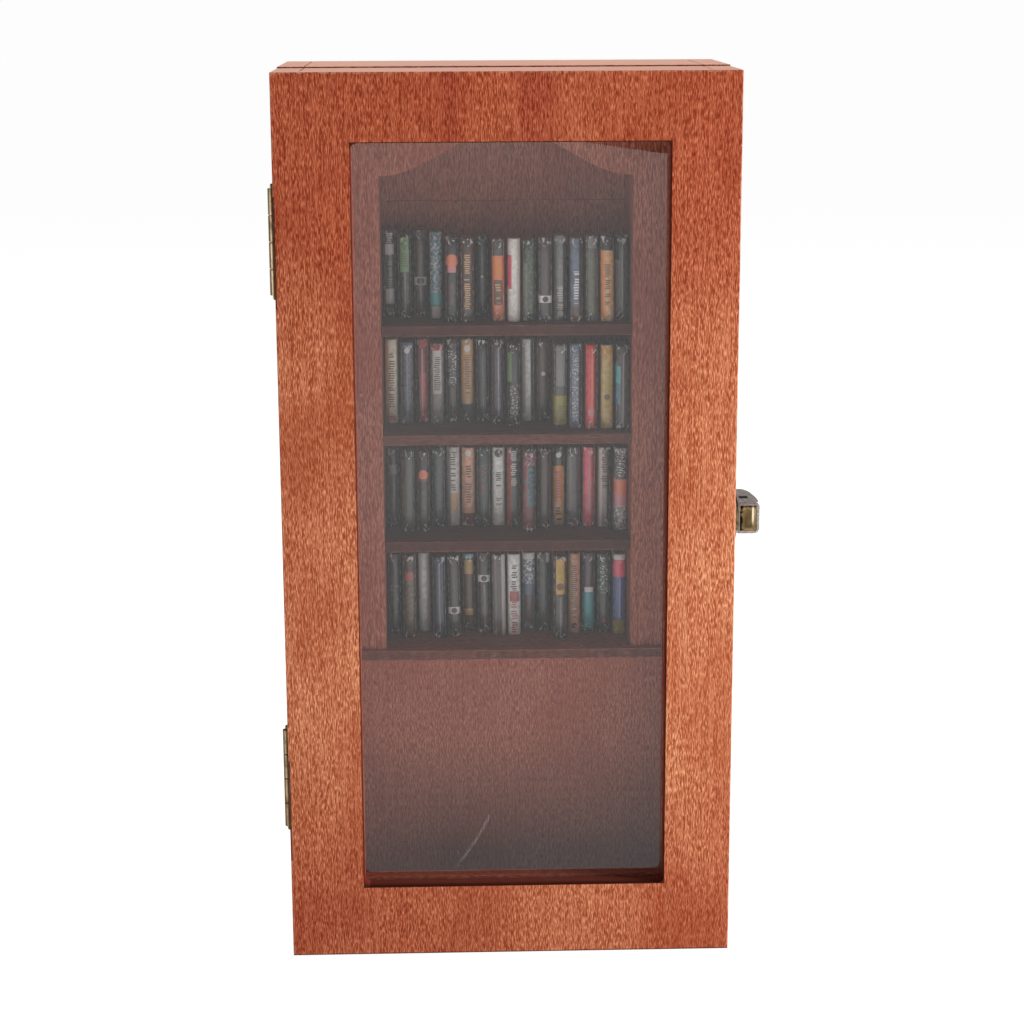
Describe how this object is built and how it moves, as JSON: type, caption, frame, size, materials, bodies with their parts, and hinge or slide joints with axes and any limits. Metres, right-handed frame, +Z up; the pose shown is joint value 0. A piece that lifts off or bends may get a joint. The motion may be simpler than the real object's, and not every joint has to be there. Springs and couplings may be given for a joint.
{
  "type": "display case",
  "caption": "Upright wooden display case with a deep glazed door, side hinges, a swinging catch and an arched inner bookcase that holds tiny bound books.",
  "frame": {"origin": "the middle of the width and of the whole closed depth, on the surface the case stands on, which is on the bottom board", "axes": "+Z up along the height, -Y towards the door, +X to the right as seen from the front, where the catch is"},
  "size_m": [0.1369, 0.073, 0.25],
  "materials": {
    "stained_plywood": "satin orange-brown stain over open vertical grain",
    "dark_stained_wood": "satin red-brown stain, edges darker",
    "clear_pane": "clear glossy sheet",
    "antique_brass": "aged, brown in the hollows and bright on the edges",
    "book_cover": "laminated card covers in many colours"
  },
  "bodies": {
    "case": {"base_ledge": "dark_stained_wood", "bookcase_back_lower": "dark_stained_wood", "bookcase_back_upper": "dark_stained_wood", "bookcase_left_side": "dark_stained_wood", "bookcase_right_side": "dark_stained_wood", "books_row_1_block_1": "book_cover", "books_row_1_block_2": "book_cover", "books_row_1_block_3": "book_cover", "books_row_2_block_1": "book_cover", "books_row_2_block_2": "book_cover", "books_row_2_block_3": "book_cover", "books_row_3_block_1": "book_cover", "books_row_3_block_2": "book_cover", "books_row_3_block_3": "book_cover", "books_row_4_block_1": "book_cover", "books_row_4_block_2": "book_cover", "books_row_4_block_3": "book_cover", "case_back": "stained_plywood", "case_bottom": "stained_plywood", "case_left_side": "stained_plywood", "case_right_side": "stained_plywood", "case_top": "stained_plywood", "catch_pin": "antique_brass", "catch_plate": "antique_brass", "catch_screw_1": "antique_brass", "catch_screw_2": "antique_brass", "face_frame": "dark_stained_wood", "lower_hinge_case_leaf": "antique_brass", "lower_hinge_case_screw_1": "antique_brass", "lower_hinge_case_screw_2": "antique_brass", "lower_hinge_pin": "antique_brass", "lower_panel": "dark_stained_wood", "shelf_1": "dark_stained_wood", "shelf_2": "dark_stained_wood", "shelf_3": "dark_stained_wood", "upper_hinge_case_leaf": "antique_brass", "upper_hinge_case_screw_1": "antique_brass", "upper_hinge_case_screw_2": "antique_brass", "upper_hinge_pin": "antique_brass"},
    "door": {"door_bottom_rim": "stained_plywood", "door_front_panel": "stained_plywood", "door_left_rim": "stained_plywood", "door_right_rim": "stained_plywood", "door_top_rim": "stained_plywood", "keeper_plate": "antique_brass", "keeper_screw_1": "antique_brass", "keeper_screw_2": "antique_brass", "lower_hinge_door_leaf": "antique_brass", "lower_hinge_door_screw_1": "antique_brass", "lower_hinge_door_screw_2": "antique_brass", "pane_bead_bottom": "dark_stained_wood", "pane_bead_left": "dark_stained_wood", "pane_bead_right": "dark_stained_wood", "pane_bead_top": "dark_stained_wood", "upper_hinge_door_leaf": "antique_brass", "upper_hinge_door_screw_1": "antique_brass", "upper_hinge_door_screw_2": "antique_brass", "window_pane": "clear_pane"},
    "flap": {"catch_flap": "antique_brass"}
  },
  "joints": [
    {"name": "door_swing", "type": "hinge", "parent": "case", "child": "door", "pos_m": [-0.06455, -0.00825, 0.123], "axis": [0, 0, -1], "range_deg": [0, 180]},
    {"name": "catch_swing", "type": "hinge", "parent": "case", "child": "flap", "pos_m": [0.0662, -0.003, 0.124], "axis": [0, 0, 1], "range_deg": [0, 130]}
  ]
}
